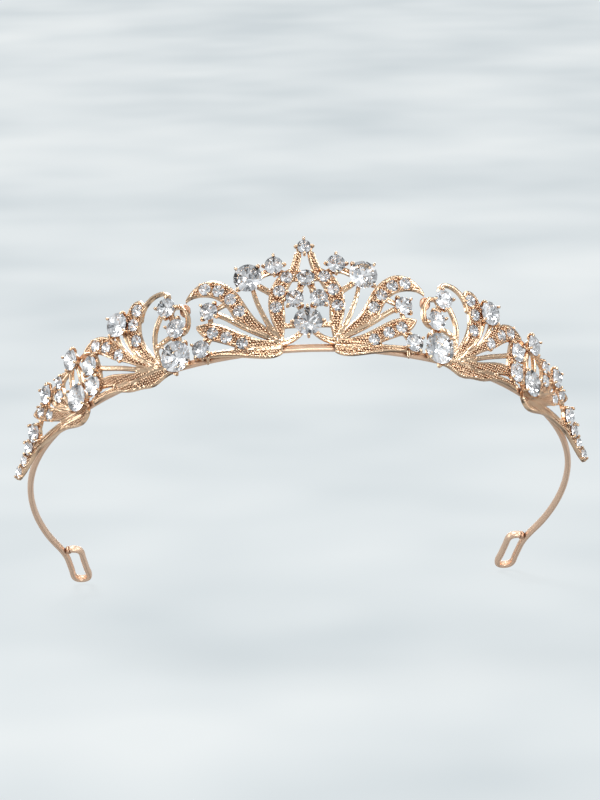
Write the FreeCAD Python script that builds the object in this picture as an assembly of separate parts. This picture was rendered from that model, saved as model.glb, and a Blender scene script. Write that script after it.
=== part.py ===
import FreeCAD, Part
import math
import os

# Bridal tiara. Millimetres, +Z up. The origin is on the underside of the band wire at the front
# centre; the tiara faces -Y and its open end points to +Y.
# The ornament stands on a wall that follows the band and leans outwards. Every drawn point of the
# castings is (s, z): s is the arc length along the band from the front centre, z the height.
# Offsets are measured outwards from the band's centreline, square to the wall.

Vector = FreeCAD.Vector
UP = Vector(0, 0, 1)

# Band and wall
HALF_WIDTH = 70.0
FRONT_DEPTH = 76.0
REAR_DEPTH = 82.0
REAR_END_ANGLE = math.radians(26.0)
LEAN = math.tan(math.radians(7.5))
WIRE_THICK = 1.6
WIRE_TALL = 2.0
WIRE_EDGE = 0.42
TAIL_START = 76.0
WALL_INNER = 0.86
WALL_OUTER = 2.0
DRAW_OFFSET = 1.4

# Stones: proportions of the diameter
PAVILION = 0.36
CROWN = 0.16
TABLE_RADIUS = 0.29
GIRDLE = 0.03
CULET_OFFSET = 0.98
SMALL_STONE = 3.3

# Settings
CLAW_RADIUS = 0.3
CLAW_GAP = 0.06
CUP_WALL = 0.32
SEAT_GAP = 0.05

# Hairpin loops at the wire's ends
LOOP_CENTRE = (58.65, 122.2)
LOOP_DIRECTION = (-0.127, 0.992)
LOOP_LENGTH = 19.5
LOOP_WIDTH = 4.1
LOOP_CURL = 110.0

WIRE_STEP = 0.8

# Solder
LUG_INNER = 0.1
SOLDER_GAP = 0.02
SOLDER_DROP = 0.95
SOLDER_TOP = 0.6
SOLDER_SPOT = (0.3, 0.3)
FRONT_LUG = (29.6, 14.6, 1.3, 1.6)
REAR_LUG = (61.2, 13.3, 1.9, 1.0)

ARC_STEPS = 360


def band_curve(angle):
    """Centreline of the right half: front ellipse up to 90 degrees, rear ellipse beyond."""
    if angle <= math.pi / 2:
        return HALF_WIDTH * math.sin(angle), FRONT_DEPTH * (1 - math.cos(angle))
    rear = angle - math.pi / 2
    return HALF_WIDTH * math.cos(rear), FRONT_DEPTH + REAR_DEPTH * math.sin(rear)


def arc_lengths():
    """Arc length reached at each of the equal angle steps of the band curve."""
    lengths = [0.0]
    last = band_curve(0.0)
    for i in range(1, ARC_STEPS + 1):
        here = band_curve(i * math.pi / ARC_STEPS)
        lengths.append(lengths[-1] + math.dist(last, here))
        last = here
    return lengths


ARCS = arc_lengths()


def band_frame(s):
    """Point, forward tangent and outward normal of the band at arc length s on the right half."""
    i = max(j for j in range(ARC_STEPS) if ARCS[j] <= s)
    share = (s - ARCS[i]) / (ARCS[i + 1] - ARCS[i])
    angle = (i + share) * math.pi / ARC_STEPS
    here = Vector(*band_curve(angle), 0)
    tangent = Vector(*band_curve(angle + 0.001), 0) - Vector(*band_curve(max(angle - 0.001, 0)), 0)
    tangent.normalize()
    return here, tangent, Vector(tangent.y, -tangent.x, 0)


def wall_frame(s):
    """Like band_frame, on the castings' line: it runs on straight behind TAIL_START."""
    here, tangent, normal = band_frame(min(abs(s), TAIL_START))
    here += tangent * max(abs(s) - TAIL_START, 0)
    if s < 0:
        here.x, tangent.x, normal.x = -here.x, -tangent.x, -normal.x
        tangent = -tangent
    return here, tangent, normal


def wall_point(s, z, offset):
    here, _, normal = wall_frame(s)
    return here + normal * (offset + z * LEAN) + UP * z


def wall_normal(s):
    _, _, normal = wall_frame(s)
    outward = normal - UP * LEAN
    outward.normalize()
    return outward


def wall_slab(s_from, s_to, inner, outer, low=-7.0, high=33.0):
    """Curved leaning plate between two offsets."""
    count = max(6, int(abs(s_to - s_from) / 3))
    stations = [s_from + (s_to - s_from) * i / count for i in range(count + 1)]
    outlines = []
    for z in (low, high):
        sides = []
        for offset in (inner, outer):
            curve = Part.BSplineCurve()
            curve.interpolate([wall_point(s, z, offset) for s in stations])
            sides.append(curve.toShape())
        near, far = sides
        ends = [Part.makeLine(near.valueAt(near.FirstParameter), far.valueAt(far.FirstParameter)),
                Part.makeLine(near.valueAt(near.LastParameter), far.valueAt(far.LastParameter))]
        outlines.append(Part.Wire([near, ends[1], far, ends[0]]))
    return Part.makeLoft(outlines, True, True)


class Sheet:
    """Drawing plane square to the wall at one station, for outlines that are cut from the wall."""

    BACK = 45.0
    DEPTH = 75.0

    def __init__(self, station):
        self.origin, self.tangent, self.normal = wall_frame(station)

    def spot(self, s, z):
        across = (wall_point(s, z, DRAW_OFFSET) - self.origin).dot(self.tangent)
        return self.origin - self.normal * self.BACK + self.tangent * across + UP * z

    def face(self, points):
        corners = [self.spot(s, z) for s, z in points]
        return Part.Face(Part.makePolygon(corners + corners[:1]))

    def cut_from(self, faces, slab):
        """Join the faces in the plane and cut the joined outline from the slab."""
        joined = faces[0].multiFuse(faces[1:])
        column = rim_face(joined).extrude(self.normal * self.DEPTH)
        return slab.common(column)


def rim_face(joined):
    """One face from touching coplanar faces: its wires are the edges that only one face has."""
    uses = {}
    for face in joined.Faces:
        for edge in face.Edges:
            uses.setdefault(edge.hashCode(), []).append(edge)
    rims = [same[0] for same in uses.values() if len(same) == 1]
    wires = [Part.Wire(chain) for chain in Part.sortEdges(rims)]
    return Part.makeFace(wires, "Part::FaceMakerBullseye")


def smooth(points, step=0.8):
    """Points along the smooth curve through the given points."""
    curve = Part.BSplineCurve()
    curve.interpolate([Vector(s, z, 0) for s, z in points])
    count = max(2, round(curve.length() / step))
    return [(p.x, p.y) for p in curve.discretize(count + 1)]


def leaf(one_rim, other_rim):
    """Outline between two smooth rims that start at the same end."""
    return smooth(one_rim) + smooth(other_rim)[::-1]


def blade(spine, root, tip=None):
    """Strip along a smooth spine, tapered from the root width to the tip width, with round ends."""
    tip = root if tip is None else tip
    line = smooth(spine) if len(spine) > 2 else spine
    left, right = [], []
    for i, (s, z) in enumerate(line):
        before = line[max(i - 1, 0)]
        after = line[min(i + 1, len(line) - 1)]
        length = math.dist(before, after)
        half = 0.5 * (root + (tip - root) * i / (len(line) - 1))
        side = (half * (before[1] - after[1]) / length, half * (after[0] - before[0]) / length)
        left.append((s + side[0], z + side[1]))
        right.append((s - side[0], z - side[1]))
    return left + round_end(line[-1], left[-1], right[-1]) + right[::-1] \
        + round_end(line[0], right[0], left[0])


def round_end(centre, start, end):
    """Inner points of the half circle that closes a blade, clockwise from start to end."""
    radius = math.dist(start, end) / 2
    first = math.atan2(start[1] - centre[1], start[0] - centre[0])
    turns = [first - math.pi * k / 5 for k in range(1, 5)]
    return [(centre[0] + radius * math.cos(a), centre[1] + radius * math.sin(a)) for a in turns]


def disc(s, z, radius, sides=28):
    turns = [2 * math.pi * k / sides for k in range(sides)]
    return [(s + radius * math.cos(a), z + radius * math.sin(a)) for a in turns]


def mirrored(points):
    return [(-s, z) for s, z in points]


# Stones and their settings, modelled at the origin with the stone's axis on +Z and girdle at z=0

def place(shape, stone):
    """Move a shape from its own axes to the stone's seat on the wall."""
    s, z, diameter, turn = stone
    girdle = CULET_OFFSET + PAVILION * diameter
    outward = wall_normal(s)
    right = UP.cross(outward)
    right.normalize()
    above = outward.cross(right)
    spot = wall_point(s, z, girdle)
    spin = FreeCAD.Placement(Vector(), FreeCAD.Rotation(UP, turn))
    seat = FreeCAD.Matrix(right.x, above.x, outward.x, spot.x,
                          right.y, above.y, outward.y, spot.y,
                          right.z, above.z, outward.z, spot.z,
                          0, 0, 0, 1)
    moved = shape.copy()
    moved.Placement = FreeCAD.Placement(seat).multiply(spin)
    return moved


def ring(radius, height, count, start=0.0):
    turns = [2 * math.pi * (k + start) / count for k in range(count)]
    return [Vector(radius * math.cos(a), radius * math.sin(a), height) for a in turns]


def facet(*corners):
    return Part.Face(Part.makePolygon(list(corners) + [corners[0]]))


def cut_stone(diameter):
    """Round cut stone: octagonal table, crown and pavilion facets, a thin straight girdle."""
    radius = diameter / 2
    table = ring(TABLE_RADIUS * diameter, CROWN * diameter, 8)
    top = ring(radius, GIRDLE * diameter / 2, 16)
    low = ring(radius, -GIRDLE * diameter / 2, 16)
    culet = Vector(0, 0, -PAVILION * diameter)
    faces = [facet(*table)]
    for k in range(8):
        at, after = table[k], table[(k + 1) % 8]
        edge = [top[2 * k - 1], top[2 * k], top[2 * k + 1]]
        faces += [facet(at, edge[0], edge[1]), facet(at, edge[1], edge[2]), facet(at, edge[2], after)]
    for k in range(16):
        nxt = (k + 1) % 16
        faces.append(facet(top[k], low[k], low[nxt], top[nxt]))
        faces.append(facet(low[k], culet, low[nxt]))
    return Part.Solid(Part.Shell(faces))


def revolve(profile):
    corners = [Vector(r, 0, h) for r, h in profile]
    return Part.Face(Part.makePolygon(corners + corners[:1])).revolve(Vector(), UP, 360)


def seat(diameter):
    """Space kept free for the stone, open at the back through the wall."""
    radius = diameter / 2 + SEAT_GAP
    hole = 0.07 * diameter + 0.2
    back = -PAVILION * diameter - 1.0
    bottom = -PAVILION * diameter - SEAT_GAP
    slope = (radius - hole) / radius
    return revolve([(0, back), (hole, back), (hole, bottom * slope), (radius, 0), (radius, 0.1),
                    (TABLE_RADIUS * diameter, CROWN * diameter + 0.1), (0, CROWN * diameter + 0.1)])


def cup(diameter):
    """Tapered cup under a large stone."""
    foot = WALL_INNER + 0.04 - CULET_OFFSET - PAVILION * diameter
    rim = -0.1 * diameter
    wide = (0.5 - 0.1 * 0.5 / PAVILION) * diameter + CUP_WALL
    narrow = 0.24 * diameter + CUP_WALL
    return revolve([(0, foot), (narrow, foot), (wide, rim), (0, rim)])


def claw(diameter, radius):
    """Wire claw that leans out below the girdle and bends in over the crown."""
    edge = diameter / 2
    bow = radius + CLAW_GAP
    reach = 0.2 * diameter
    spine = Part.BSplineCurve()
    spine.interpolate([Vector(edge + 0.6 * bow - reach, 0, -0.8 * bow - 0.72 * reach),
                       Vector(edge + bow, 0, -0.75 * bow),
                       Vector(edge + bow, 0, 0.5 * bow),
                       Vector(edge + 0.1 * bow, 0, 1.25 * bow)])
    path = Part.Wire(spine.toShape())
    start = spine.value(spine.FirstParameter)
    circle = Part.Wire(Part.makeCircle(radius, start, spine.tangent(spine.FirstParameter)[0]))
    stem = path.makePipeShell([circle], True, True)
    tip = Part.makeSphere(radius, spine.value(spine.LastParameter))
    return stem.fuse(tip)


def settings(stones):
    """Cups and claws for a list of stones, and the seats to cut."""
    parts, seats = [], []
    for stone in stones:
        diameter = stone[2]
        small = diameter < SMALL_STONE
        grip = claw(diameter, CLAW_RADIUS if small else CLAW_RADIUS + 0.08)
        for quarter in range(4):
            turned = (stone[0], stone[1], diameter, stone[3] + 90 * quarter)
            parts.append(place(grip, turned))
        if not small:
            parts.append(place(cup(diameter), stone))
        seats.append(place(seat(diameter), stone))
    return parts, seats


def collars(stones):
    """Outline discs that carry the cups of the larger stones."""
    return [disc(s, z, 0.26 * d + CUP_WALL) for s, z, d, _ in stones if d >= SMALL_STONE]


# Stone tables: (s, z, diameter, turn of the claws in degrees)

CENTRE_STONES = {
    "centre_solitaire_stone": [(0, 6.2, 7.2, 0)],
    "crest_upper_stone": [(0, 18.0, 4.2, 45)],
    "crest_peak_stone": [(0, 26.3, 3.5, 0)],
    "crest_pair_stones": [(2.8, 12.6, 4.5, 45), (-2.8, 12.6, 4.5, 45)],
}
INNER_STONES = {
    "crest_edge_stones": [(4.35, 18.5, 3.0, 30), (6.25, 15.1, 3.0, 20), (7.25, 11.0, 3.0, 45)],
    "crest_shoulder_stone": [(7.1, 21.6, 4.6, 0)],
    "crest_round_stone": [(13.1, 18.5, 7.2, 45)],
    "scroll_leaf_stones": [(23.7, 18.2, 3.0, 55), (20.5, 17.1, 3.0, 70), (17.8, 14.4, 3.0, 0),
                           (15.9, 11.0, 3.0, 15)],
    "scroll_drop_stone": [(23.1, 12.1, 4.5, 45)],
    "lower_leaf_stones": [(22.8, 6.6, 3.0, 75), (19.5, 4.8, 3.0, 75), (15.8, 2.7, 3.0, 60)],
    "junction_stone": [(25.85, 2.8, 4.6, 35)],
}
SIDE_STONES = {
    "side_large_stone": [(31.9, 1.9, 8.0, 45)],
    "side_pair_stones": [(31.6, 9.6, 5.0, 20), (33.5, 15.6, 5.0, 10)],
    "arc_leaf_stones": [(41.7, 17.7, 3.1, 20), (43.2, 14.4, 3.1, 40), (42.9, 10.1, 3.1, 50)],
    "side_crest_stone": [(47.2, 15.5, 6.2, 45)],
    "side_leaf_stones": [(55.5, 13.5, 3.0, 65), (52.2, 11.7, 3.0, 75), (48.6, 8.4, 3.0, 0)],
    "side_end_stones": [(57.7, 8.9, 5.0, 45), (57.5, 3.5, 5.0, 45)],
}
TAIL_STONES = {
    "tail_lead_stone": [(64.2, 13.2, 5.2, 35)],
    "tail_large_stone": [(63.2, 2.4, 7.0, 45)],
    "tail_bead_stones": [(71.1, 10.4, 3.2, 45), (71.7, 6.9, 3.2, 45)],
    "tail_leaf_stones": [(81.9, 7.2, 3.1, 70), (77.7, 4.5, 3.1, 75)],
    "tail_medium_stones": [(76.9, 9.7, 5.0, 45), (85.9, 3.1, 5.0, 65)],
    "tail_tip_stones": [(90.4, 1.0, 3.8, 65), (94.3, -0.7, 3.0, 65), (97.8, -2.3, 3.0, 65)],
}


def flat_list(table):
    return [stone for stones in table.values() for stone in stones]


def mirror_stone(stone):
    s, z, diameter, turn = stone
    return -s, z, diameter, -turn


# Castings, drawn for the right half

SCROLL_OUTER = [(6.5, 2.6), (9, 5.5), (11.5, 7.8), (13.5, 10.8), (15.0, 13.8), (16.4, 16.2), (18, 18.0),
                (20, 19.5), (22.2, 20.2), (24.6, 20.0), (27, 18.7), (28.9, 16.7)]
SCROLL_INNER = [(6.9, 1.9), (10.6, 4.3), (14.4, 6.6), (17, 9), (18.5, 12.0), (20, 14.3), (22, 15.9),
                (24.5, 16.7), (27, 16.8), (28.9, 16.0)]
CREST_OUTER = [(3.3, 20.9), (5.8, 19.4), (8.0, 16.4), (9.0, 12.8), (8.7, 8.7), (7.6, 5), (7.0, 2.2)]
CREST_INNER = [(2.4, 19.9), (3.2, 17.4), (4.6, 14.8), (5.3, 11.5), (5.2, 9), (5.4, 6), (6.0, 2.2)]


def centre_outlines():
    """Right half of the crest: crown struts, crest leaf, scroll leaf, lower leaf and rail."""
    return [
        leaf(CREST_OUTER, CREST_INNER),
        leaf(SCROLL_OUTER, SCROLL_INNER),
        leaf([(6.0, 2.8), (9, 2.6), (12, 3.4), (15.5, 5.2), (18, 6.8), (21, 8.5), (24.2, 9.4), (26.9, 9.3)],
             [(6.2, 0.6), (9, 0.6), (12, 0.9), (15, 1.2), (18, 2.5), (21.5, 4.2), (24.2, 5.6), (26.9, 8.9)]),
        leaf([(6.2, 0.9), (10, 0.9), (15, 1.4), (20, 1.8), (24, 2.0), (28.2, 2.2)],
             [(6.2, -0.7), (8.4, -1.6), (12, -1.4), (16, -0.6), (20, 0.2), (24, 0.6), (28.2, 1.0)]),
        blade([(1.2, 25.8), (1.8, 21.5), (3.0, 18.6)], 1.1),
        blade([(1.9, 24.6), (2.8, 21.6), (3.9, 19.2)], 0.9),
        blade([(0.9, 16.6), (2.2, 14.4)], 1.3),
        blade([(1.5, 18.1), (3.6, 18.2)], 1.1),
        blade([(3.9, 13.0), (5.6, 13.6)], 1.2),
        blade([(1.9, 11.2), (1.0, 9.2), (0.6, 7.6)], 1.2),
        blade([(2.4, 6.2), (5.7, 6.2)], 1.1),
        blade([(1.5, 4.5), (3.4, 2.9), (6.2, 1.9)], 1.2, 1.4),
        blade([(4.6, 19.2), (7.0, 20.4), (10.6, 19.6)], 1.5),
        blade([(8.3, 15.0), (11.0, 17.0)], 1.3),
        blade([(12.4, 16.4), (11.8, 13.5), (10.8, 10.5), (9.6, 7.6), (8, 4.5), (6.6, 2.2)], 1.0, 1.2),
        blade([(6.8, 2.2), (10, 3.9), (13.5, 5.9), (17, 8.3), (19.5, 10.2), (22, 11.6)], 1.2, 1.1),
        blade([(19.0, 13.6), (21.9, 12.6)], 1.1),
        blade([(23.1, 10.8), (23.2, 8.6)], 1.3),
        blade([(24.9, 3.7), (23.4, 5.6)], 1.1),
        blade([(25.8, 2.4), (25.9, 1.2)], 1.6),
        blade([(24.7, 1.2), (24.7, -0.4)], 0.9),
    ]


SIDE_OUTLINES = [
    ([(40.2, 20.0), (42.6, 20.0), (44.6, 18), (45.5, 15), (45.4, 12), (44.9, 9.0), (43, 6.2), (40.6, 3.6),
      (38.2, 1.4)],
     [(39.7, 18.8), (41.1, 15.6), (41.6, 12), (41.1, 9.5), (40.0, 7), (38.5, 4.6), (37.2, 2.4)]),
    ([(38.6, 2.4), (43, 5.4), (46, 8.4), (48.2, 11.4), (51, 14.0), (54.6, 15.5), (57.6, 15.2), (60.1, 13.7)],
     [(39.2, 1.2), (44, 4.0), (47.4, 6.2), (50.2, 7.7), (53.4, 10.1), (56.4, 11.9), (60.1, 13.1)]),
    ([(38.6, 2.0), (42, 2.0), (47, 3.0), (51, 4.2), (56.4, 4.2)],
     [(38.6, -0.8), (44, -0.9), (47, -0.3), (50, 0.7), (56.4, 2.4)]),
    ([(34.2, 0.8), (38.5, 1.2), (44, 0.2), (50, 0.9), (55, 1.1), (59.3, 1.0)],
     [(34.2, -0.9), (37.2, -1.7), (40, -2.7), (43, -2.3), (47, -1.8), (50, -0.8), (54, -0.3), (59.3, -0.6)]),
]
SIDE_BLADES = [
    ([(30.0, 15.4), (28.8, 13), (28.8, 10.6), (29.7, 8.8), (31.2, 8.4)], 0.9),
    ([(30.0, 15.4), (33.0, 15.9)], 1.1),
    ([(33.7, 17.0), (33.6, 19.8), (36, 20.1), (38.2, 19.3), (40.1, 17.5), (41.1, 15)], 0.9),
    ([(35.0, 15.0), (36.8, 12.6), (37.8, 10), (38.0, 7), (37.4, 3)], 0.9),
    ([(32.3, 11.2), (33.0, 14.2)], 1.3),
    ([(31.7, 8.0), (31.9, 4.2)], 1.3),
    ([(32.8, 8.6), (35.0, 7.9), (37.8, 6.6)], 0.9),
    ([(33.8, 2.0), (38.5, 1.4)], 1.8),
    ([(33.2, 0.4), (33.3, -1.3)], 0.9),
    ([(46.4, 14.2), (45.9, 11.5), (44.6, 8.6), (42.5, 5.6), (39, 2.0)], 0.9),
    ([(48.9, 14.4), (48.0, 11.4), (46.2, 8.3), (43, 4.9), (39, 1.7)], 0.9),
    ([(45.2, 15.4), (47.2, 15.5), (50.8, 13.4)], 1.2),
    ([(39, 1.4), (44, 3.1), (48, 4.8), (52, 6.3), (57.0, 8.4)], 1.1),
    ([(55.7, 3.4), (55.7, 7), (56.0, 9.6), (56.8, 12.4)], 1.0),
    ([(57.7, 8.0), (57.5, 4.4)], 1.3),
    ([(57.5, 2.8), (57.6, 0.4)], 1.4),
]
TAIL_LEAVES = [
    ([(64.2, 0.2), (68, 1.2), (72, 3.2), (75.8, 5.8), (79.2, 7.8), (83.0, 8.9), (86.2, 8.4)],
     [(64.2, -1.6), (68, -0.6), (72, 0.4), (76, 2.1), (79.4, 3.6), (83.0, 5.4), (86.2, 8.0)]),
    ([(61.4, 0.6), (66, 0.4), (70, 0.4), (76, 0.8), (82, 1.0), (87, 0.8), (92, -0.4), (96, -2.0), (99.4, -3.0)],
     [(61.4, -1.4), (64.4, -3.5), (68, -3.1), (72, -1.9), (77, -1.2), (83, -0.9), (88, -1.2), (93, -2.6),
      (99.4, -3.9)]),
    ([(65.6, 13.0), (68.4, 12.0), (70.6, 12.2), (72.6, 11.2), (73.4, 8.6), (72.8, 5.4), (70, 2.8), (66, 0.2)],
     [(65.6, 12.0), (67.8, 10.4), (69.6, 9.8), (70.1, 8.4), (69.9, 6.2), (68.6, 4.2), (65.4, 1.4)]),
]
TAIL_BLADES = [
    ([(64.2, 12.2), (62.9, 10.4), (62.6, 7.6), (63.0, 4.0)], 1.1),
    ([(65.6, 11.9), (66.4, 8.8), (66.2, 5.6), (64.6, 3.2)], 1.0),
    ([(66, 0.4), (70.6, 3.0), (74.6, 5.9), (76.8, 9.0)], 1.1),
    ([(72.4, 10.0), (76.4, 9.7)], 1.1),
    ([(77.9, 8.8), (79.6, 7.4)], 1.2),
    ([(85.9, 3.4), (85.4, 0.4)], 1.8),
    ([(86.6, 3.0), (90.4, 1.0), (94.3, -0.7), (97.8, -2.3), (99.0, -2.9)], 2.2, 2.0),
    ([(63.2, 2.4), (63.4, -0.4)], 2.4),
    ([(84.9, 3.9), (82.6, 6.2)], 1.1),
]


def casting(station, slab, outlines, stones):
    """Cut the outlines from the slab, add cups and claws, and open the seats."""
    sheet = Sheet(station)
    faces = [sheet.face(points) for points in outlines + collars(stones)]
    plate = sheet.cut_from(faces, slab)
    extras, seats = settings(stones)
    solid = plate.multiFuse(extras).cut(seats)
    return solid


def keep_solid(shape):
    """The casting is the largest solid; chips left loose by the seats are dropped."""
    return max(shape.Solids, key=lambda solid: solid.Volume)


def centre_casting():
    right = centre_outlines()
    outlines = right + [mirrored(points) for points in right]
    stones = flat_list(INNER_STONES)
    stones = stones + [mirror_stone(stone) for stone in stones] + flat_list(CENTRE_STONES)
    slab = wall_slab(-30.5, 30.5, WALL_INNER, WALL_OUTER)
    return keep_solid(casting(0.0, slab, outlines, stones))


def side_casting():
    outlines = [leaf(*rims) for rims in SIDE_OUTLINES] + [blade(*spec) for spec in SIDE_BLADES]
    slab = wall_slab(26.0, 64.0, WALL_INNER, WALL_OUTER)
    return keep_solid(casting(45.0, slab, outlines, flat_list(SIDE_STONES)))


def tail_casting():
    outlines = [leaf(*rims) for rims in TAIL_LEAVES] + [blade(*spec) for spec in TAIL_BLADES]
    slab = wall_slab(58.0, 103.0, WALL_INNER, WALL_OUTER)
    return keep_solid(casting(78.0, slab, outlines, flat_list(TAIL_STONES)))


def wire_path():
    """Centreline of the right half of the wire from the front centre to the end of its loop."""
    count = 24
    last = math.pi / 2 + REAR_END_ANGLE
    band = [band_curve(last * k / count) for k in range(count + 1)]
    along = Vector(*LOOP_DIRECTION, 0)
    along.normalize()
    out = Vector(along.y, -along.x, 0)
    middle = Vector(*LOOP_CENTRE, 0)
    side = LOOP_WIDTH / 2
    straight = LOOP_LENGTH / 2 - side
    loop = [middle + out * side + along * (straight * k) for k in (-0.55, 0.0, 0.55)]
    loop += [middle + along * (straight + side * math.cos(a)) + out * (side * math.sin(a))
             for a in (math.radians(90 - 45 * k) for k in range(5))]
    loop += [middle - out * side + along * (straight * k) for k in (0.5, 0.0, -0.5)]
    loop += [middle - along * (straight + side * math.sin(a)) - out * (side * math.cos(a))
             for a in (math.radians(LOOP_CURL * k / 3) for k in range(4))]
    return [Vector(x, y, 0) for x, y in band] + loop


def path_edge(path, side, height):
    """Curve alongside the path, a given distance to its left and at a given height."""
    first, last = path.FirstParameter, path.LastParameter
    count = round(path.length() / WIRE_STEP)
    points = []
    for k in range(count + 1):
        at = first + (last - first) * k / count
        points.append(path.value(at) + UP.cross(path.tangent(at)[0]) * side + UP * height)
    curve = Part.BSplineCurve()
    curve.interpolate(points)
    return curve.toShape()


def headband_wire():
    """Bar with a flat underside and flat top and chamfered corners, swept along the path."""
    right = wire_path()
    left = [Vector(-p.x, p.y, p.z) for p in right[:0:-1]]
    path = Part.BSplineCurve()
    path.interpolate(left + right)
    wide, tall = WIRE_THICK / 2, WIRE_TALL
    flat = wide - WIRE_EDGE
    section = [(-flat, 0), (flat, 0), (wide, WIRE_EDGE), (wide, tall - WIRE_EDGE),
               (flat, tall), (-flat, tall), (-wide, tall - WIRE_EDGE), (-wide, WIRE_EDGE)]
    edges = [path_edge(path, side, height) for side, height in section]
    starts = [edge.valueAt(edge.FirstParameter) for edge in edges]
    ends = [edge.valueAt(edge.LastParameter) for edge in edges]
    faces = [facet(*starts), facet(*ends)]
    for k, edge in enumerate(edges):
        after = (k + 1) % len(edges)
        if section[k][1] == section[after][1]:
            sides = [Part.makeLine(ends[k], ends[after]), Part.makeLine(starts[k], starts[after])]
            faces.append(Part.Face(Part.Wire([edge, sides[0], edges[after], sides[1]])))
        else:
            faces.append(Part.makeRuledSurface(edge, edges[after]))
    shell = Part.Shell(faces)
    shell.sewShape()
    return Part.Solid(shell)


def wall_disc(s, z, radius_s, radius_z, inner, outer):
    """Oval lump on the wall between two offsets."""
    sheet = Sheet(s)
    turns = [2 * math.pi * k / 24 for k in range(24)]
    face = sheet.face([(s + radius_s * math.cos(a), z + radius_z * math.sin(a)) for a in turns])
    slab = wall_slab(s - radius_s - 2, s + radius_s + 2, inner, outer)
    return slab.common(face.extrude(sheet.normal * sheet.DEPTH))


def solder_lug(s, z, radius_s, radius_z):
    """Lump of solder behind the gap between two castings."""
    return wall_disc(s, z, radius_s, radius_z, LUG_INNER, WALL_INNER - SOLDER_GAP)


def loop_solder(wire):
    """Drop of solder between the curled end of the right loop and the band."""
    top, waist = SOLDER_DROP * SOLDER_TOP, SOLDER_DROP / 2
    drop = revolve([(0, -SOLDER_DROP), (top, -SOLDER_DROP), (SOLDER_DROP, -waist),
                    (SOLDER_DROP, waist), (top, SOLDER_DROP), (0, SOLDER_DROP)])
    drop.translate(wire_path()[-1] + Vector(*SOLDER_SPOT, WIRE_TALL / 2))
    return max(drop.cut(wire).Solids, key=lambda solid: solid.Volume)


def stone_group(stones):
    return Part.makeCompound([place(cut_stone(stone[2]), stone) for stone in stones])


def write(name, shape):
    shape.exportStep("parts/" + name + ".step")


def write_pair(name, shape):
    """Write the right-hand piece and its mirror image."""
    write("right_" + name, shape)
    write("left_" + name, shape.mirror(Vector(), Vector(1, 0, 0)))


def main():
    os.makedirs("parts", exist_ok=True)
    wire = headband_wire()
    write("headband_wire", wire)
    write_pair("loop_solder", loop_solder(wire))
    write_pair("front_solder", solder_lug(*FRONT_LUG))
    write_pair("rear_solder", solder_lug(*REAR_LUG))
    for name, stones in CENTRE_STONES.items():
        write(name, stone_group(stones))
    for table in (INNER_STONES, SIDE_STONES, TAIL_STONES):
        for name, stones in table.items():
            write_pair(name, stone_group(stones))
    write_pair("side_frame", side_casting())
    write_pair("tail_frame", tail_casting())
    write("centre_crest_frame", centre_casting())


main()
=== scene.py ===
import bmesh
import bpy
import math
import numpy as np
from mathutils import Matrix, Vector
from mathutils.kdtree import KDTree

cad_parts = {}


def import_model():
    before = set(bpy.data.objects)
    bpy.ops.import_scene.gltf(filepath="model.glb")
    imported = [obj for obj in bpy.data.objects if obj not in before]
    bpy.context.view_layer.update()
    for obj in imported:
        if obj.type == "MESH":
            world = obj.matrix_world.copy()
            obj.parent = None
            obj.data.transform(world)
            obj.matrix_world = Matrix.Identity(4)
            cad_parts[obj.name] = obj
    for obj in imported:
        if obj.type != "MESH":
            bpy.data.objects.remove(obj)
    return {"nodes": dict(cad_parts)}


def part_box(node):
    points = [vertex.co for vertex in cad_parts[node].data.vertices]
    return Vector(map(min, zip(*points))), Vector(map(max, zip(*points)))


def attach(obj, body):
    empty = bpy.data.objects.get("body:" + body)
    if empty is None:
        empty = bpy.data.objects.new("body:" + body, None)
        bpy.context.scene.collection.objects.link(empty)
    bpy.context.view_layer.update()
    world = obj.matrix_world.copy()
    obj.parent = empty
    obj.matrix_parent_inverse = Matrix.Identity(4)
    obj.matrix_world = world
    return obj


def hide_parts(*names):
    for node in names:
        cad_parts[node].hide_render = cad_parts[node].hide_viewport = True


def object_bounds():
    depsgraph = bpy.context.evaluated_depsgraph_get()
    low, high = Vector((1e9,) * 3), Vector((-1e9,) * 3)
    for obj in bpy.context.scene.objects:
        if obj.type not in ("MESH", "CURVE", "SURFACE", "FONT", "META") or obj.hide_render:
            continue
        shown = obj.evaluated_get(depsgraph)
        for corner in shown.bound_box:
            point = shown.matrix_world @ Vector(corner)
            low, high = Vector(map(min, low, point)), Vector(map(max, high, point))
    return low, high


# Looks of the bridal tiara. Metres, in the CAD row's frame: +Z up, the tiara faces -Y.

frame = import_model()
cad_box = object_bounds()

MM = 0.001
SEED = 7

# The wall that carries the ornament: it follows the band and leans outwards
WIRE_LOW, WIRE_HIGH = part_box("headband_wire")
WIRE_HALF = 0.8 * MM
HALF_WIDTH = WIRE_HIGH.x - WIRE_HALF
FRONT_DEPTH = 76 * MM
LEAN = math.tan(math.radians(7.5))
TAIL_START = 76 * MM
WALL_INNER = 0.86 * MM
WALL_OUTER = 2.0 * MM
TAIL_REACH = 30 * MM
LINE_STEPS = 2000
TAIL_STEPS = 400

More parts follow.
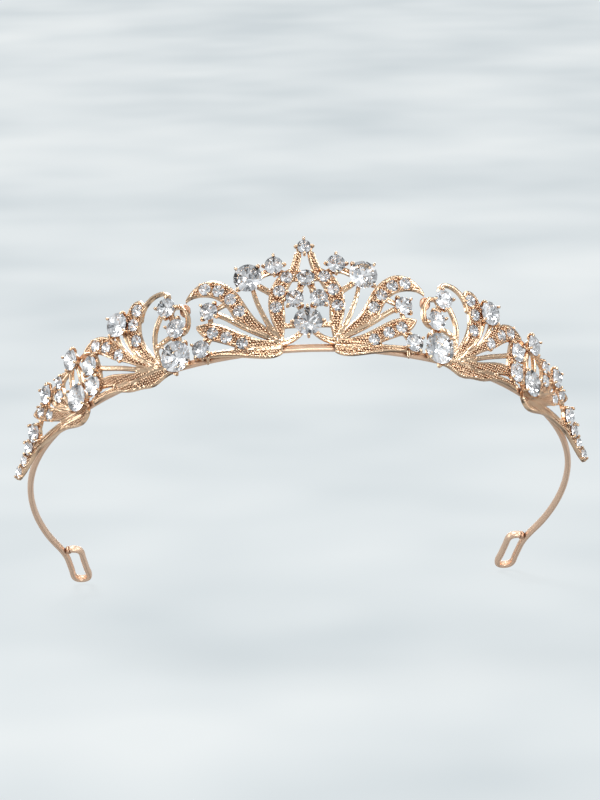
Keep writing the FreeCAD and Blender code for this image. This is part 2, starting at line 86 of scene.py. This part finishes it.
# Finish of the castings. FACING limits compare a vertex normal with the wall's outward normal
VOXEL = 0.13 * MM
WELD = 0.002 * MM
CAST_ROUNDS = 2
FACE_FACING = 0.75
EDGE_FACING = 0.45
CUP_FACING = (0.6, 0.9)
CUP_OFFSET = (1.2 * MM, 1.8 * MM)
SKIN = 0.16 * MM
EDGE_ROUND = 0.34 * MM
EDGE_DROP = 0.2 * MM
FIELD_START = 0.42 * MM
FIELD_SLOPE = 0.2 * MM
FIELD_DEPTH = 0.24 * MM
FAN_FEET = [(6.5 * MM, 2.0 * MM), (38.6 * MM, 1.4 * MM), (65.5 * MM, 0.2 * MM)]
FAN_RIDGES = 38
FAN_BEGINS = (1.0 * MM, 3.0 * MM)
FAN_ENDS = (7.0 * MM, 12.0 * MM)
RIDGE_HEIGHT = 0.1 * MM
GROOVE_STEP = 0.08 * MM
BEAD_PITCH = 0.72 * MM
BEAD_RADIUS = 0.3 * MM
BEAD_SINK = 0.2 * MM
BEAD_SCATTER = 0.04 * MM
BEAD_CLEAR = 0.40 * MM
ON_FLOOR = 0.1 * MM
ROW_RATIO = 0.866
BEAD_SIZES = (0.85, 1.12)

# Wire and solder
WIRE_VOXEL = 0.2 * MM
WIRE_ROUNDS = 16
SOLDER_VOXEL = 0.1 * MM
SOLDER_ROUNDS = 12
LUMP_WAVES = (3100, 2700, 3400)
LUMP_SHIFTS = (1, 0, 2)
LUMP_HEIGHT = 0.06 * MM
LUMP_SWELL = 0.05 * MM

# How the cut stones are measured in the CAD meshes
STONE_WELD = 0.003 * MM
RIM_SHARE = 0.98

# Slope of the cloth that the camera sees from below, and the side of both cloths
TABLE_TILT = 39.0
STAGE_SIZE = 6.0

# Grooves between the rims of neighbouring leaves near the foot of each spray: (arc, height) in mm
CENTRE_GROOVES = [
    [(9.0, 12.8), (8.7, 8.7), (7.6, 5.0), (7.0, 2.2)],
    [(13.5, 10.8), (11.5, 7.8), (9.0, 5.5), (6.5, 2.6)],
    [(17.0, 9.0), (14.4, 6.6), (10.6, 4.3), (6.9, 1.9)],
    [(15.5, 5.2), (12.0, 3.4), (9.0, 2.6), (6.0, 2.8)],
    [(15.0, 1.2), (12.0, 0.8), (9.0, 0.6), (6.2, 0.7)],
]
SIDE_GROOVES = [
    [(45.4, 12.0), (44.9, 9.0), (43.0, 6.2), (40.6, 3.6), (38.2, 1.4)],
    [(41.1, 9.5), (40.0, 7.0), (38.5, 4.6), (37.2, 2.4)],
    [(48.2, 11.4), (46.0, 8.4), (43.0, 5.4), (38.6, 2.4)],
    [(50.2, 7.7), (47.4, 6.2), (44.0, 4.0), (39.2, 1.2)],
    [(51.0, 4.2), (47.0, 3.0), (42.0, 2.0), (38.6, 2.0)],
    [(50.0, 0.8), (44.0, 0.0), (38.5, 0.9), (34.2, 0.8)],
]
TAIL_GROOVES = [
    [(72.8, 5.4), (70.0, 2.8), (66.0, 0.2)],
    [(75.8, 5.8), (72.0, 3.2), (68.0, 1.2), (64.2, 0.2)],
    [(76.0, 1.4), (70.0, 0.4), (66.0, 0.2), (61.4, 0.3)],
    [(73.0, -0.6), (68.0, -1.2), (64.2, -1.6)],
]

CASTINGS = ["centre_crest_frame", "left_side_frame", "right_side_frame", "left_tail_frame",
            "right_tail_frame"]
SOLDERS = [node for node in frame["nodes"] if node.endswith("_solder")]
STONES = [node for node in frame["nodes"] if "stone" in node]


# Node helpers

def new_material(name):
    material = bpy.data.materials.new(name)
    material.use_nodes = True
    tree = material.node_tree
    tree.nodes.clear()
    output = tree.nodes.new("ShaderNodeOutputMaterial")
    return material, tree, output


def node(tree, kind, **values):
    made = tree.nodes.new(kind)
    for key, value in values.items():
        if key in made.inputs:
            made.inputs[key].default_value = value
        else:
            setattr(made, key, value)
    return made


def ramp(tree, factor, stops):
    made = tree.nodes.new("ShaderNodeValToRGB")
    elements = made.color_ramp.elements
    while len(elements) < len(stops):
        elements.new(0.5)
    for element, (place, colour) in zip(elements, stops):
        element.position = place
        element.color = (*colour, 1)
    tree.links.new(factor, made.inputs["Fac"])
    return made.outputs["Color"]


def noise(tree, scale, detail=3.0, roughness=0.55):
    spot = node(tree, "ShaderNodeNewGeometry")
    made = node(tree, "ShaderNodeTexNoise", Scale=scale, Detail=detail, Roughness=roughness)
    tree.links.new(spot.outputs["Position"], made.inputs["Vector"])
    return made.outputs["Fac"]


def feed(tree, socket, value):
    """Link an output to the socket, or set a number or a colour on it."""
    if isinstance(value, (int, float)):
        socket.default_value = value
    elif isinstance(value, tuple):
        socket.default_value = (*value, 1)
    else:
        tree.links.new(value, socket)


def maths(tree, operation, first, second):
    made = node(tree, "ShaderNodeMath", operation=operation)
    feed(tree, made.inputs[0], first)
    feed(tree, made.inputs[1], second)
    return made.outputs[0]


def mix_colour(tree, factor, first, second, blend="MIX"):
    made = node(tree, "ShaderNodeMix", data_type="RGBA", blend_type=blend)
    feed(tree, made.inputs[0], factor)
    feed(tree, made.inputs[6], first)
    feed(tree, made.inputs[7], second)
    return made.outputs[2]


def mix_shader(tree, factor, first, second):
    made = tree.nodes.new("ShaderNodeMixShader")
    for socket, value in zip(made.inputs, (factor, first, second)):
        tree.links.new(value, socket)
    return made.outputs[0]


def between(tree, factor, low, high):
    """Map a factor of 0 to 1 onto a range."""
    made = node(tree, "ShaderNodeMapRange")
    made.inputs["To Min"].default_value = low
    made.inputs["To Max"].default_value = high
    tree.links.new(factor, made.inputs["Value"])
    return made.outputs["Result"]


def bumped(tree, height, shader, strength, distance):
    made = node(tree, "ShaderNodeBump", Strength=strength, Distance=distance)
    tree.links.new(height, made.inputs["Height"])
    tree.links.new(made.outputs["Normal"], shader.inputs["Normal"])


# Materials

def rose_gold(name, bright, deep, rough_low, rough_high, grain, metal=1.0):
    """Plated metal: warm colour shift, painted shade in the hollows with a patina-brown tint, fine cast
    grain and small polishing marks.
    """
    material, tree, output = new_material(name)
    shader = node(tree, "ShaderNodeBsdfPrincipled", Metallic=metal)
    drift = noise(tree, 160.0, 4.0)
    base = mix_colour(tree, drift, bright, deep)
    # Painted shade: ambient occlusion darkens the colour in hollows and between parts, towards a patina
    # brown
    hollow = node(tree, "ShaderNodeAmbientOcclusion", samples=4, Distance=1.1 * MM)
    painted_shade = ramp(tree, hollow.outputs["AO"], [(0.34, (0.28, 0.14, 0.07)), (0.92, (1, 1, 1))])
    colour = mix_colour(tree, 1.0, base, painted_shade, "MULTIPLY")
    tree.links.new(colour, shader.inputs["Base Color"])
    rough = between(tree, noise(tree, 900.0, 5.0, 0.7), rough_low, rough_high)
    tree.links.new(rough, shader.inputs["Roughness"])
    bumped(tree, noise(tree, 5200.0, 4.0, 0.6), shader, grain, 0.03 * MM)
    tree.links.new(shader.outputs["BSDF"], output.inputs["Surface"])
    return material


def crystal():
    """Clear cut glass with a faint tint and small changes of gloss."""
    material, tree, output = new_material("cut_glass")
    shader = node(tree, "ShaderNodeBsdfPrincipled", IOR=1.56)
    shader.inputs["Transmission Weight"].default_value = 1.0
    tint = ramp(tree, noise(tree, 700.0, 2.0), [(0.3, (0.93, 0.95, 0.97)), (0.7, (1.0, 1.0, 1.0))])
    tree.links.new(tint, shader.inputs["Base Color"])
    tree.links.new(between(tree, noise(tree, 1500.0, 3.0), 0.0, 0.03), shader.inputs["Roughness"])
    tree.links.new(shader.outputs["BSDF"], output.inputs["Surface"])
    return material


def foil():
    """Silvered back of a stone with a painted glint: every facet glows a different amount, picked by its
    direction.
    """
    material, tree, output = new_material("silver_foil")
    shader = node(tree, "ShaderNodeBsdfPrincipled", Metallic=1.0)
    tone = ramp(tree, noise(tree, 500.0, 3.0), [(0.3, (0.80, 0.83, 0.86)), (0.7, (0.97, 0.97, 0.97))])
    tree.links.new(tone, shader.inputs["Base Color"])
    tree.links.new(between(tree, noise(tree, 2200.0, 3.0), 0.02, 0.10), shader.inputs["Roughness"])
    facing = tree.nodes.new("ShaderNodeNewGeometry")
    snapped = node(tree, "ShaderNodeVectorMath", operation="SNAP")
    snapped.inputs[1].default_value = (0.07, 0.07, 0.07)
    tree.links.new(facing.outputs["True Normal"], snapped.inputs[0])
    chance = tree.nodes.new("ShaderNodeTexWhiteNoise")
    tree.links.new(snapped.outputs[0], chance.inputs["Vector"])
    # Painted glint: emission on the foil, stronger on some facets, to brighten the stones
    painted_glint = ramp(tree, chance.outputs["Value"], [(0.0, (0, 0, 0)), (0.40, (0.01, 0.01, 0.01)),
                                                 (0.60, (0.15, 0.155, 0.16)), (1.0, (0.44, 0.45, 0.46))])
    tree.links.new(painted_glint, shader.inputs["Emission Color"])
    shader.inputs["Emission Strength"].default_value = 1.0
    tree.links.new(shader.outputs["BSDF"], output.inputs["Surface"])
    return material


GOLD = rose_gold("rose_gold_cast", (1.0, 0.79, 0.57), (0.91, 0.62, 0.40), 0.10, 0.30, 0.35)
WIRE_GOLD = rose_gold("rose_gold_wire", (1.0, 0.76, 0.57), (0.98, 0.69, 0.50), 0.32, 0.50, 0.2, 0.7)
SOLDER = rose_gold("plated_solder", (0.90, 0.61, 0.43), (0.74, 0.46, 0.31), 0.30, 0.55, 0.8)
GLASS = crystal()
FOIL = foil()


# Wall coordinates

def wall_line():
    """Centreline of the castings' wall on the right half: points, outward normals, arc lengths."""
    turn = np.linspace(0, math.pi / 2, LINE_STEPS)
    points = np.stack([HALF_WIDTH * np.sin(turn), FRONT_DEPTH * (1 - np.cos(turn))], 1)
    steps = np.hypot(*np.diff(points, axis=0).T)
    arcs = np.concatenate([[0], np.cumsum(steps)])
    keep = arcs <= TAIL_START
    points, arcs = points[keep], arcs[keep]
    tangent = points[-1] - points[-2]
    tangent /= np.hypot(*tangent)
    run = np.linspace(0, TAIL_REACH, TAIL_STEPS)[1:]
    points = np.concatenate([points, points[-1] + run[:, None] * tangent])
    arcs = np.concatenate([arcs, arcs[-1] + run])
    ahead = np.gradient(points, axis=0)
    ahead /= np.hypot(*ahead.T)[:, None]
    return points, np.stack([ahead[:, 1], -ahead[:, 0]], 1), arcs


def point_tree(points):
    tree = KDTree(len(points))
    for k, spot in enumerate(points):
        tree.insert(spot, k)
    tree.balance()
    return tree


LINE, LINE_NORMAL, LINE_ARC = wall_line()
LINE_TREE = point_tree([(x, y, 0) for x, y in LINE])


def wall_coordinates(points):
    """Arc length (negative on the left), offset from the wall's base line, and outward normals."""
    side = np.where(points[:, 0] < 0, -1.0, 1.0)
    near = np.array([LINE_TREE.find((abs(x), y, 0))[1] for x, y in points[:, :2]])
    gap = np.stack([np.abs(points[:, 0]), points[:, 1]], 1) - LINE[near]
    offset = (gap * LINE_NORMAL[near]).sum(1) - points[:, 2] * LEAN
    normals = np.stack([LINE_NORMAL[near, 0] * side, LINE_NORMAL[near, 1], np.full(len(near), -LEAN)], 1)
    normals /= np.linalg.norm(normals, axis=1)[:, None]
    return LINE_ARC[near] * side, offset, normals


def wall_place(arc, height, offset):
    """Points on the wall from arc lengths, heights and offsets, and their outward normals."""
    side = np.where(arc < 0, -1.0, 1.0)
    columns = [np.interp(np.abs(arc), LINE_ARC, LINE[:, k]) for k in range(2)]
    out = [np.interp(np.abs(arc), LINE_ARC, LINE_NORMAL[:, k]) for k in range(2)]
    reach = offset + height * LEAN
    spots = np.stack([(columns[0] + out[0] * reach) * side, columns[1] + out[1] * reach, height], 1)
    normals = np.stack([out[0] * side, out[1], np.full(len(arc), -LEAN)], 1)
    return spots, normals / np.linalg.norm(normals, axis=1)[:, None]


# Mesh helpers

def arrays(mesh):
    co = np.empty(len(mesh.vertices) * 3)
    mesh.vertices.foreach_get("co", co)
    normals = np.empty(len(mesh.vertices) * 3)
    mesh.vertex_normals.foreach_get("vector", normals)
    return co.reshape(-1, 3), normals.reshape(-1, 3)


def finish(mesh, co, material):
    """Give a sculpted mesh its positions, smooth shading and material."""
    mesh.vertices.foreach_set("co", co.ravel())
    mesh.update()
    mesh.shade_smooth()
    mesh.materials.append(material)


LOOKS = []


def add_object(name, mesh, material_slot, *nodes):
    made = bpy.data.objects.new(name, mesh)
    LOOKS.append(made)
    bpy.context.scene.collection.objects.link(made)
    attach(made, "root")
    if nodes:
        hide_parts(*nodes)


def remeshed(name, source, voxel):
    """Copy of a CAD node's mesh with even voxel faces, ready for sculpting."""
    made = bpy.data.objects.new(name, source.data.copy())
    bpy.context.scene.collection.objects.link(made)
    weld = made.modifiers.new("weld", "WELD")
    weld.merge_threshold = WELD
    remesh = made.modifiers.new("remesh", "REMESH")
    remesh.mode = "VOXEL"
    remesh.voxel_size = voxel
    graph = bpy.context.evaluated_depsgraph_get()
    mesh = bpy.data.meshes.new_from_object(made.evaluated_get(graph))
    mesh.name = name
    bpy.data.objects.remove(made)
    mesh.materials.clear()
    return mesh


def edges_of(mesh):
    pairs = np.empty(len(mesh.edges) * 2, int)
    mesh.edges.foreach_get("vertices", pairs)
    return pairs.reshape(-1, 2)


def relax(mesh, co, rounds):
    """Move every position halfway to the mean of its neighbours, a number of times."""
    pairs = edges_of(mesh)
    count = np.bincount(pairs.ravel(), minlength=len(co)).astype(float)[:, None]
    for _ in range(rounds):
        total = np.zeros_like(co)
        for k in range(3):
            total[:, k] = np.bincount(pairs[:, 0], co[pairs[:, 1], k], len(co)) \
                + np.bincount(pairs[:, 1], co[pairs[:, 0], k], len(co))
        co = co + (total / count - co) * 0.5
    return co


# Castings

def nearest_distance(points, targets):
    tree = point_tree(targets)
    return np.array([tree.find(spot)[2] for spot in points])


def groove_points():
    """Close-set points along every groove, on both halves."""
    spots = []
    for line in CENTRE_GROOVES + SIDE_GROOVES + TAIL_GROOVES:
        corners = np.array(line) * MM
        reach = np.concatenate([[0], np.cumsum(np.hypot(*np.diff(corners, axis=0).T))])
        at = np.arange(0, reach[-1], GROOVE_STEP)
        arc, height = (np.interp(at, reach, corners[:, k]) for k in range(2))
        for side in (1, -1):
            spots.append(np.stack([side * arc, height, np.zeros(len(at))], 1))
    return np.concatenate(spots)


def fan_ridges(flat):
    """Height of the fine ridges that fan out from the foot of each spray."""
    height = np.zeros(len(flat))
    for arc, rise in FAN_FEET:
        across, up = np.abs(flat[:, 0]) - arc, flat[:, 1] - rise
        away = np.hypot(across, up)
        wave = np.cos(np.arctan2(up, across) * FAN_RIDGES)
        fade = smooth_step(*FAN_BEGINS, away) * (1 - smooth_step(*FAN_ENDS, away))
        height += RIDGE_HEIGHT * wave * fade
    return height


def smooth_step(low, high, value):
    t = np.clip((value - low) / (high - low), 0, 1)
    return t * t * (3 - 2 * t)


def closed_groups(mesh):
    """Corner points of every closed stone in a mesh, with the split corners welded."""
    shape = bmesh.new()
    shape.from_mesh(mesh)
    bmesh.ops.remove_doubles(shape, verts=shape.verts, dist=STONE_WELD)
    left = set(shape.verts)
    groups = []
    while left:
        stack = [left.pop()]
        group = []
        while stack:
            corner = stack.pop()
            group.append(corner.co[:])
            linked = {edge.other_vert(corner) for edge in corner.link_edges} & left
            left -= linked
            stack += linked
        groups.append(np.array(group))
    shape.free()
    return sorted(groups, key=lambda group: tuple(np.round(group.mean(0), 6)))


def stone_spots():
    """Centre, axis and radius of every cut stone in the CAD nodes."""
    return {name: [measure_stone(group) for group in closed_groups(frame["nodes"][name].data)]
            for name in STONES}


def measure_stone(points):
    """The stone is flattest along its axis, and its culet lies farthest from its middle."""
    middle = points.mean(0)
    axis = np.linalg.svd(points - middle)[2][2]
    heights = (points - middle) @ axis
    if -heights.min() < heights.max():
        axis, heights = -axis, -heights
    away = np.linalg.norm(points - middle - heights[:, None] * axis, axis=1)
    rim = away > away.max() * RIM_SHARE
    return {"centre": points[rim].mean(0), "axis": axis, "radius": away.max()}


SPOTS = stone_spots()


def inside(value, limits):
    return (value > limits[0]) & (value < limits[1])


def edge_drop(gap):
    """How far a face falls away at a given distance from its edge."""
    return EDGE_DROP * (1 - np.clip(gap / EDGE_ROUND, 0, 1)) ** 2


def casting(name):
    """Cast look: rounded edges, grooves between leaves, sunk fields between raised rims."""
    mesh = remeshed(name + "_look", frame["nodes"][name], VOXEL)
    co, normals = arrays(mesh)
    co = relax(mesh, co, CAST_ROUNDS)
    arc, offset, wall = wall_coordinates(co)
    facing = (normals * wall).sum(1)
    front = (facing > FACE_FACING) & (np.abs(offset - WALL_OUTER) < SKIN)
    back = (facing < -FACE_FACING) & (np.abs(offset - WALL_INNER) < SKIN)
    sides = (np.abs(facing) < EDGE_FACING) & inside(offset, (WALL_INNER, WALL_OUTER))
    cones = inside(facing, CUP_FACING) & inside(offset, CUP_OFFSET)
    flat = np.stack([arc, co[:, 2], np.zeros(len(co))], 1)
    rim = flat[sides | cones]
    gap = nearest_distance(flat[front], np.concatenate([rim, groove_points()]))
    drop = edge_drop(gap)
    drop += FIELD_DEPTH * smooth_step(FIELD_START, FIELD_START + FIELD_SLOPE, gap)
    co[front] += (fan_ridges(flat[front]) - drop)[:, None] * wall[front]
    co[back] += edge_drop(nearest_distance(flat[back], rim))[:, None] * wall[back]
    co = relax(mesh, co, CAST_ROUNDS)
    finish(mesh, co, GOLD)
    add_object(name + "_look", mesh, "rose_gold_cast", name)
    beads(name, flat[front], gap)


def unit_ball():
    """Vertices and faces of a bead of unit radius."""
    shape = bmesh.new()
    bmesh.ops.create_icosphere(shape, subdivisions=2, radius=1.0)
    vertices = np.array([v.co for v in shape.verts])
    faces = np.array([[v.index for v in f.verts] for f in shape.faces])
    shape.free()
    return vertices, faces


BALL, BALL_FACES = unit_ball()


def beads(name, floor, gap):
    """Rows of small cast beads that fill the sunk fields, clear of stones."""
    local = np.random.default_rng(SEED + len(name))
    tree = point_tree(floor)
    low, high = floor.min(0), floor.max(0)
    spots = []
    row = 0
    height = low[1]
    while height < high[1]:
        across = low[0] + (row % 2) * BEAD_PITCH / 2
        while across < high[0]:
            place = (across + local.normal(0, BEAD_SCATTER),
                     height + local.normal(0, BEAD_SCATTER), 0)
            _, near, away = tree.find(place)
            if away < ON_FLOOR and gap[near] > BEAD_CLEAR:
                spots.append(place)
            across += BEAD_PITCH
        row += 1
        height += BEAD_PITCH * ROW_RATIO
    spots = np.array(spots)
    size = BEAD_RADIUS * local.uniform(*BEAD_SIZES, len(spots))
    where, out = wall_place(spots[:, 0], spots[:, 1], np.full(len(spots), WALL_OUTER - BEAD_SINK))
    vertices = (where[:, None, :] + BALL[None] * size[:, None, None]).reshape(-1, 3)
    faces = (BALL_FACES[None] + (np.arange(len(spots)) * len(BALL))[:, None, None]).reshape(-1, 3)
    mesh = bpy.data.meshes.new(name + "_beads")
    mesh.from_pydata(vertices.tolist(), [], faces.tolist())
    mesh.shade_smooth()
    mesh.materials.append(GOLD)
    add_object(name + "_beads", mesh, "rose_gold_cast")


# Wire and solder

def wire():
    """Drawn wire: the bar's corners are worn round."""
    mesh = remeshed("headband_wire_look", frame["nodes"]["headband_wire"], WIRE_VOXEL)
    co, _ = arrays(mesh)
    finish(mesh, relax(mesh, co, WIRE_ROUNDS), WIRE_GOLD)
    add_object("headband_wire_look", mesh, "rose_gold_wire", "headband_wire")


def solder(name):
    """Melted lump: softened and slightly lumpy."""
    mesh = remeshed(name + "_look", frame["nodes"][name], SOLDER_VOXEL)
    co, normals = arrays(mesh)
    co = relax(mesh, co, SOLDER_ROUNDS)
    wave = np.sin(co * LUMP_WAVES + LUMP_SHIFTS).prod(1)
    co += normals * (LUMP_HEIGHT * wave + LUMP_SWELL)[:, None]
    finish(mesh, co, SOLDER)
    add_object(name + "_look", mesh, "solder", name)


# Stones: proportions of the cut for a radius of 1, and the spread of the tilt in degrees

TABLE = 0.56
STAR = 0.80
CROWN_HEIGHT = 0.30
PAVILION_DEPTH = 0.70
LOWER = 0.32
GIRDLE = 0.02
STONE_TILT = 1.2


def circle(radius, height, count, turn):
    angles = [2 * math.pi * (k + turn) / count for k in range(count)]
    return [(radius * math.cos(a), radius * math.sin(a), height) for a in angles]


def brilliant():
    """Round cut of unit radius: its corners, its glass crown faces and its foil back faces."""
    table = circle(TABLE, CROWN_HEIGHT, 8, 0)
    star_height = CROWN_HEIGHT * (1 - STAR * math.cos(math.pi / 8)) / (1 - TABLE)
    star = circle(STAR, star_height, 8, 0.5)
    top = circle(1.0, GIRDLE, 16, 0)
    low = circle(1.0, -GIRDLE, 16, 0)
    lower = circle(LOWER, -PAVILION_DEPTH * (1 - LOWER * math.cos(math.pi / 8)), 8, 0.5)
    vertices = table + star + top + low + lower + [(0, 0, -PAVILION_DEPTH)]
    t, s, g, h, w, culet = 0, 8, 16, 32, 48, 56
    crown = [tuple(range(8))]
    back = []
    for k in range(8):
        after, before = (k + 1) % 8, (k - 1) % 8
        edge = [2 * k, 2 * k + 1, (2 * k + 2) % 16]
        crown.append((t + k, s + k, t + after))
        crown.append((t + k, s + before, g + 2 * k, s + k))
        crown.append((s + k, g + edge[0], g + edge[1]))
        crown.append((s + k, g + edge[1], g + edge[2]))
        back.append((culet, w + k, h + 2 * k, w + before))
        back.append((w + k, h + edge[1], h + edge[0]))
        back.append((w + k, h + edge[2], h + edge[1]))
    for k in range(16):
        after = (k + 1) % 16
        crown.append((g + k, h + k, h + after, g + after))
    return np.array(vertices), crown, back


CUT, CROWN_FACES, BACK_FACES = brilliant()


def stones(name):
    """Cut stones set level with the CAD stones, each turned and tilted a little."""
    local = np.random.default_rng(SEED + 31 * len(name))
    vertices, faces, slots = [], [], []
    for spot in SPOTS[name]:
        axis = Vector(spot["axis"])
        right = Vector((0, 0, 1)).cross(axis).normalized()
        above = axis.cross(right)
        turn = Matrix((right, above, axis)).transposed()
        tilt = Matrix.Rotation(math.radians(local.normal(0, STONE_TILT)), 3, "X")
        spin = Matrix.Rotation(local.uniform(0, math.pi / 4), 3, "Z")
        matrix = np.array(turn @ tilt @ spin)
        placed = (CUT * spot["radius"]) @ matrix.T + spot["centre"]
        first = len(vertices)
        vertices += placed.tolist()
        for group, slot in ((CROWN_FACES, 0), (BACK_FACES, 1)):
            faces += [tuple(first + k for k in face) for face in group]
            slots += [slot] * len(group)
    mesh = bpy.data.meshes.new(name + "_look")
    mesh.from_pydata(vertices, [], faces)
    mesh.materials.append(GLASS)
    mesh.materials.append(FOIL)
    mesh.polygons.foreach_set("material_index", slots)
    mesh.shade_flat()
    mesh.update()
    add_object(name + "_look", mesh, "rhinestone", name)


# Stage

def viewer_height(tree):
    """Height of the camera above the row's origin plane, worked out at the shaded point."""
    spot = node(tree, "ShaderNodeNewGeometry")
    camera = node(tree, "ShaderNodeCameraData")
    split_spot = node(tree, "ShaderNodeSeparateXYZ")
    split_way = node(tree, "ShaderNodeSeparateXYZ")
    tree.links.new(spot.outputs["Position"], split_spot.inputs[0])
    tree.links.new(spot.outputs["Incoming"], split_way.inputs[0])
    reach = maths(tree, "MULTIPLY", split_way.outputs["Z"], camera.outputs["View Distance"])
    return maths(tree, "ADD", split_spot.outputs["Z"], reach)


def stage_material(name, seen_from_above):
    """Pale satin cloth that glows, with painted shade of soft folds, shown only to a viewer on its own
    side.
    """
    material, tree, output = new_material(name)
    # Painted fold shading: noise lightens and darkens the cloth's glow; the same noise bumps the faint
    # lit part
    fold_shade_and_bump = noise(tree, 9.0, 2.0)
    colour = ramp(tree, fold_shade_and_bump, [(0.3, (0.66, 0.72, 0.75)), (0.55, (0.78, 0.83, 0.85)),
                               (0.75, (0.86, 0.90, 0.91))])
    glow_with_painted_folds = node(tree, "ShaderNodeEmission", Strength=0.88)
    tree.links.new(colour, glow_with_painted_folds.inputs["Color"])
    matt = node(tree, "ShaderNodeBsdfDiffuse", Color=(0.10, 0.107, 0.11, 1))
    bumped(tree, fold_shade_and_bump, matt, 0.5, 4 * MM)
    cloth = node(tree, "ShaderNodeAddShader")
    tree.links.new(glow_with_painted_folds.outputs[0], cloth.inputs[0])
    tree.links.new(matt.outputs[0], cloth.inputs[1])
    clear = node(tree, "ShaderNodeBsdfTransparent")
    side = "GREATER_THAN" if seen_from_above else "LESS_THAN"
    shown = maths(tree, side, viewer_height(tree), 0.0)
    seen = mix_shader(tree, shown, clear.outputs[0], cloth.outputs[0])
    tree.links.new(seen, output.inputs["Surface"])
    return material


def stage_plane(name, centre, normal, material):
    """Large square cloth that only the camera sees."""
    mesh = bpy.data.meshes.new(name)
    half = STAGE_SIZE / 2
    mesh.from_pydata([(-half, -half, 0), (half, -half, 0), (half, half, 0), (-half, half, 0)], [],
                     [(0, 1, 2, 3)])
    mesh.materials.append(material)
    made = bpy.data.objects.new(name, mesh)
    turn = Vector(normal).to_track_quat("Z", "Y").to_matrix().to_4x4()
    made.matrix_world = Matrix.Translation(centre) @ turn
    bpy.context.scene.collection.objects.link(made)
    for ray in ("diffuse", "glossy", "transmission", "shadow", "volume_scatter"):
        setattr(made, "visible_" + ray, False)


def stage():
    """A level floor for views from above, and a sloping cloth for views from below."""
    low, high = cad_box
    stage_plane("floor", (0, 0.06, low.z - 0.3 * MM), (0, 0, 1), stage_material("floor_cloth", True))
    tilt = math.radians(TABLE_TILT)
    back = Vector((0, high.y, WIRE_LOW.z - 0.5 * MM))
    stage_plane("table", back, (0, -math.sin(tilt), math.cos(tilt)),
                stage_material("table_cloth", False))


def area_light(name, place, target, size, power, colour=(1, 1, 1)):
    data = bpy.data.lights.new(name, "AREA")
    data.shape = "RECTANGLE"
    data.size, data.size_y = size
    data.energy = power
    data.color = colour
    made = bpy.data.objects.new(name, data)
    made.location = place
    made.rotation_euler = (Vector(target) - Vector(place)).to_track_quat("-Z", "Y").to_euler()
    bpy.context.scene.collection.objects.link(made)
    return made


def lights():
    """The key light also falls on the cloth; the others are linked to the tiara alone."""
    middle = (0, 0.04, 0.01)
    area_light("key", (-0.25, -0.45, 0.55), middle, (0.30, 0.30), 2.8)
    others = [
        area_light("fill", (0.5, -0.35, 0.2), middle, (0.2, 0.45), 1.6, (0.96, 0.98, 1.0)),
        area_light("low", (0.1, -0.6, -0.35), middle, (0.5, 0.10), 2.0, (1.0, 0.97, 0.94)),
        area_light("back", (0.1, 0.60, 0.60), middle, (0.5, 0.3), 2.0),
        area_light("side", (-0.6, 0.1, 0.15), middle, (0.2, 0.45), 0.9),
    ]
    lit = bpy.data.collections.new("tiara_only")
    for made in LOOKS:
        lit.objects.link(made)
    for light in others:
        light.light_linking.receiver_collection = lit


def world():
    """Pale studio for the camera; softboxes with dark gaps for reflections and refractions."""
    made = bpy.data.worlds.new("studio")
    made.use_nodes = True
    tree = made.node_tree
    tree.nodes.clear()
    output = tree.nodes.new("ShaderNodeOutputWorld")
    way = node(tree, "ShaderNodeTexCoord")
    bands = node(tree, "ShaderNodeTexNoise", Scale=2.4, Detail=2.0)
    tree.links.new(way.outputs["Generated"], bands.inputs["Vector"])
    boxes = ramp(tree, bands.outputs["Fac"], [(0.34, (0.03, 0.03, 0.035)), (0.42, (0.35, 0.36, 0.38)),
                                              (0.49, (1.0, 1.0, 1.0))])
    studio = node(tree, "ShaderNodeBackground", Strength=0.55)
    tree.links.new(boxes, studio.inputs["Color"])
    pale = node(tree, "ShaderNodeBackground", Color=(0.84, 0.88, 0.90, 1), Strength=1.0)
    path = node(tree, "ShaderNodeLightPath")
    seen = mix_shader(tree, path.outputs["Is Camera Ray"], studio.outputs[0], pale.outputs[0])
    tree.links.new(seen, output.inputs["Surface"])
    bpy.context.scene.world = made


# Camera: a long lens below the band's plane, turned and rolled a few degrees

RISE, TURN, ROLL = (math.radians(degrees) for degrees in (27.36, 3.30, 3.29))
CAMERA_DISTANCE = 1.014
PICTURE_HEIGHT = 800
PER_MM = 4.092
ORIGIN_RIGHT = 8.8
ORIGIN_UP = 48.3
SENSOR = 36.0


def camera():
    """The origin shows at PER_MM picture units per mm, a little right of and above the middle."""
    right = Vector((math.cos(TURN), -math.sin(TURN), 0))
    level = math.cos(RISE)
    ahead = Vector((math.sin(TURN) * level, math.cos(TURN) * level, math.sin(RISE)))
    up = right.cross(ahead)
    side_x = math.cos(ROLL) * right - math.sin(ROLL) * up
    side_y = math.sin(ROLL) * right + math.cos(ROLL) * up
    data = bpy.data.cameras.new("camera")
    data.sensor_width = SENSOR
    data.lens = PER_MM * CAMERA_DISTANCE / MM / PICTURE_HEIGHT * SENSOR
    data.shift_x = -ORIGIN_RIGHT / PICTURE_HEIGHT
    data.shift_y = -ORIGIN_UP / PICTURE_HEIGHT
    data.clip_end = 20
    made = bpy.data.objects.new("camera", data)
    place = -ahead * CAMERA_DISTANCE
    made.matrix_world = Matrix((
        (side_x.x, side_y.x, -ahead.x, place.x),
        (side_x.y, side_y.y, -ahead.y, place.y),
        (side_x.z, side_y.z, -ahead.z, place.z),
        (0, 0, 0, 1)))
    bpy.context.scene.collection.objects.link(made)
    bpy.context.scene.camera = made


for part in CASTINGS:
    casting(part)
wire()
for part in SOLDERS:
    solder(part)
for part in STONES:
    stones(part)
stage()
lights()
world()
camera()
bpy.context.scene.view_settings.view_transform = "Standard"
